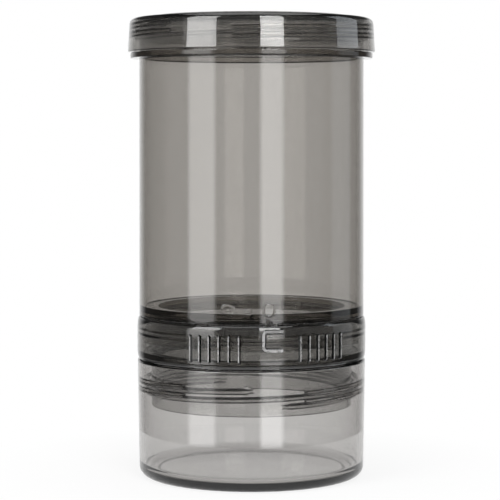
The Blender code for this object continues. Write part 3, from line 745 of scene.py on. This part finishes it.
def make_tube():
    """Tube with a spigot and sieve ledge below, a collar and a threaded mouth above."""
    tube = turned("Tube", [
        (43.3, TUBE_SEAT, 0.1),
        (45.2, TUBE_SEAT, 0.5),
        (TUBE_MOUTH_RADIUS, COLLAR_FOOT, 0.5),
        (48.4, COLLAR_FOOT, 0.4),
        (48.4, COLLAR_TOP, 0.4),
        (TUBE_MOUTH_RADIUS, COLLAR_TOP, 0.2),
        (TUBE_MOUTH_RADIUS, MOUTH_TOP, 0.4),
        (42.85, MOUTH_TOP, 0.4),
        (43.2, 68.4, 0.5),
        (37.5, 68.4, 0.3),
        (37.5, 66.4, 0.3),
        (41.2, 66.4, 0.1),
        (41.2, SPIGOT_FOOT, 0.3),
        (43.3, SPIGOT_FOOT, 0.3),
        (43.3, 57.7, 0.5),
        (43.6, 58.6, 0.5),
        (43.6, 59.2, 0.5),
        (43.3, 60.1, 0.5),
    ])
    ridges = thread(
        TUBE_MOUTH_RADIUS, 46.35, MOUTH_THREAD_START_DEG, 300, MOUTH_THREAD_HEIGHT, ramp_deg=12
    )
    combine(tube, ridges, "UNION")
    combine(tube, blocks("tab", (44.3, 46.2, 168.9, 172.9, 15, (0,))), "UNION")
    keys = blocks(
        "keys",
        (40.2, 41.7, 64.2, 66.9, 4, KEY_ANGLES),
        (41.5, 43.0, SPIGOT_FOOT - 2.2, SPIGOT_FOOT + 0.5, 10, (180,)),
    )
    combine(tube, keys, "UNION")
    builder = bmesh.new()
    for mark in (
        (-11.5, 70.2, 6.2, 5.4, 0.9, 0.3),
        (-11.5, 70.2, 2.6, 2.2, 0.8, 0.3),
        (8.5, 70.2, 5.2, 5.4, 0.9, 0.3),
        (-1.5, 70.0, 3.0, 3.0, 0.8, 0.25),
    ):
        ring_mark(builder, *mark)
    combine(tube, new_object("marks", builder), "UNION")
    dress(tube, "chamber_tube", "chamber", TUBE_PLASTIC)


def make_lid_seal():
    """Flat ring round the lid's plug that the tube's mouth presses on."""
    seal = turned("LidSeal", [
        (41.7, 180.1, 0.25),
        (45.15, 180.1, 0.25),
        (45.15, 181.3, 0.25),
        (41.7, 181.3, 0.25),
    ])
    dress(seal, "lid_seal", "lid_seal_carrier", SEAL_SILICONE)


def make_lid():
    """Screw lid with a drafted skirt, a raised rim on top, a plug ring and a broken thread."""
    lid = turned("Lid", [
        (LID_BORE, LIP, 0.4),
        (49.4, LIP, 0.5),
        (48.6, LID_TOP, 2.4),
        (41.2, LID_TOP, 0.15),
        (40.9, 183.7, 0.2),
        (39.8, 183.7, 0.2),
        (39.8, LID_TOP, 0.15),
        (0, LID_TOP),
        (0, 181.6),
        (39.9, 181.6, 0.3),
        (39.9, 178.6, 0.3),
        (41.4, 178.6, 0.3),
        (41.4, 181.6, 0.1),
        (LID_BORE, 181.6, 0.6),
    ])
    start_deg = -9
    ridges = thread(LID_BORE, 45.6, start_deg, 148, mouth_ridge(start_deg) + PITCH / 2, rows=2)
    combine(lid, ridges, "UNION")
    dress(lid, "lid", "cap", LID_PLASTIC)


def make_floor():
    """Round white table top that keeps a light shadow, and shows white through the plastic."""
    builder = bmesh.new()
    bmesh.ops.create_circle(builder, cap_ends=True, segments=96, radius=FLOOR_RADIUS)
    floor = new_object("Floor", builder)
    floor.location.z = -FLOOR_DROP
    material = bpy.data.materials.new("floor_white")
    material.use_nodes = True
    tree = material.node_tree
    tree.nodes.clear()
    matt = tree.nodes.new("ShaderNodeBsdfDiffuse")
    matt.inputs["Color"].default_value = FLOOR_COLOUR
    glow = tree.nodes.new("ShaderNodeEmission")
    glow.inputs["Strength"].default_value = 1
    ray = tree.nodes.new("ShaderNodeLightPath").outputs
    seen = maths(tree, "MAXIMUM", ray["Is Camera Ray"], ray["Is Transmission Ray"])
    seen = maths(tree, "MAXIMUM", seen, ray["Is Glossy Ray"])
    place = tree.nodes.new("ShaderNodeTexCoord").outputs["Object"]
    fade = remap(tree, vector_maths(tree, "LENGTH", place), FLOOR_FADE_RADII, FLOOR_FADE_SHARES)
    share = maths(tree, "MULTIPLY", seen, fade)
    output = tree.nodes.new("ShaderNodeOutputMaterial")
    mixed = mix_shaders(tree, share, matt.outputs["BSDF"], glow.outputs["Emission"])
    tree.links.new(mixed, output.inputs["Surface"])
    floor.data.materials.append(material)


def make_world():
    """White seen behind the shaker.

    Its plastic meets white up to a low height, and its gloss only the part behind it.
    """
    world = bpy.data.worlds.new("studio")
    bpy.context.scene.world = world
    world.use_nodes = True
    tree = world.node_tree
    back = tree.nodes["Background"]
    back.inputs["Color"].default_value = (1, 1, 1, 1)
    back.inputs["Strength"].default_value = 1
    room = tree.nodes.new("ShaderNodeBackground")
    room.inputs["Color"].default_value = (1, 1, 1, 1)
    room.inputs["Strength"].default_value = ROOM_STRENGTH
    ray = tree.nodes.new("ShaderNodeLightPath").outputs
    direction = tree.nodes.new("ShaderNodeTexCoord").outputs["Generated"]
    band = remap(tree, part_of(tree, direction, "Z"), WHITE_HEIGHT_FADE, (1, 0), "SMOOTHSTEP")
    behind = remap(tree, part_of(tree, direction, "Y"), WHITE_BEHIND_FADE, (0, 1), "SMOOTHSTEP")
    mirrored = maths(tree, "MULTIPLY", behind, ray["Is Glossy Ray"])
    through = maths(tree, "MAXIMUM", mirrored, ray["Is Transmission Ray"])
    banded = maths(tree, "MULTIPLY", through, band)
    seen = maths(tree, "MAXIMUM", banded, ray["Is Camera Ray"])
    mixed = mix_shaders(tree, seen, room.outputs["Background"], back.outputs["Background"])
    tree.links.new(mixed, tree.nodes["World Output"].inputs["Surface"])


def fade_sides(lamp_data, share):
    """Let the light of an area lamp fall off over a share of its width at both sides."""
    lamp_data.use_nodes = True
    tree = lamp_data.node_tree
    place = tree.nodes.new("ShaderNodeNewGeometry").outputs["Parametric"]
    aside = maths(tree, "ABSOLUTE", maths(tree, "SUBTRACT", part_of(tree, place, "X"), 0.5))
    fade = remap(tree, aside, (0.5 - share, 0.5), (1, 0), "SMOOTHSTEP")
    tree.links.new(fade, tree.nodes["Emission"].inputs["Strength"])


def area_lamp(name, width, height, strength, colour):
    """Rectangular lamp that is not seen itself, whose face shows at a strength whatever its size."""
    data = bpy.data.lights.new(name, "AREA")
    data.shape = "RECTANGLE"
    data.size = width
    data.size_y = height
    data.color = colour
    data.energy = strength * width * height * math.pi
    lamp = bpy.data.objects.new(name, data)
    bpy.context.scene.collection.objects.link(lamp)
    lamp.visible_camera = False
    return lamp


def softbox(name, azimuth_deg, width_deg, fade_deg, levels, strength, colour):
    """Upright panel of light in front of the shaker, between two heights.

    The light fades at both sides, with half of the fading angle inside the width.
    """
    bottom, top = levels
    whole_deg = width_deg + fade_deg
    width = 2 * SOFTBOX_DISTANCE * math.tan(math.radians(whole_deg / 2))
    lamp = area_lamp(name, width, top - bottom, strength, colour)
    angle = math.radians(azimuth_deg)
    lamp.location = (
        SOFTBOX_DISTANCE * math.sin(angle),
        -SOFTBOX_DISTANCE * math.cos(angle),
        (bottom + top) / 2,
    )
    lamp.rotation_euler = (math.radians(90), 0, angle)
    if fade_deg:
        fade_sides(lamp.data, fade_deg / whole_deg)


def top_light():
    """Wide soft light above the shaker, which the plastic doesn't show in its depth."""
    lamp = area_lamp("SoftboxTop", TOP_LIGHT_SIZE, TOP_LIGHT_SIZE, TOP_LIGHT_STRENGTH, WHITE)
    lamp.location = (0, 0, 1.0)
    lamp.visible_transmission = False


def make_camera():
    """Camera that sees the shaker as the photograph does."""
    data = bpy.data.cameras.new("Camera")
    data.sensor_width = SENSOR_WIDTH
    data.lens = SENSOR_WIDTH * FOCAL_LENGTH_PX / IMAGE_PX
    data.clip_start = 0.01
    data.clip_end = 20
    camera = bpy.data.objects.new("Camera", data)
    bpy.context.scene.collection.objects.link(camera)
    camera.location = CAMERA_PLACE
    camera.rotation_euler = (math.radians(90 - CAMERA_TILT_DEG), 0, 0)
    bpy.context.scene.camera = camera


make_cup()
make_cup_seal()
make_collar()
make_shutter()
make_sieve()
make_tube()
make_lid_seal()
make_lid()
make_floor()
make_world()
for row in SOFTBOXES:
    softbox(*row)
top_light()
make_camera()
bpy.context.scene.view_settings.view_transform = "Standard"
bpy.context.scene.cycles.max_bounces = LIGHT_BOUNCES
bpy.context.scene.cycles.transmission_bounces = LIGHT_BOUNCES
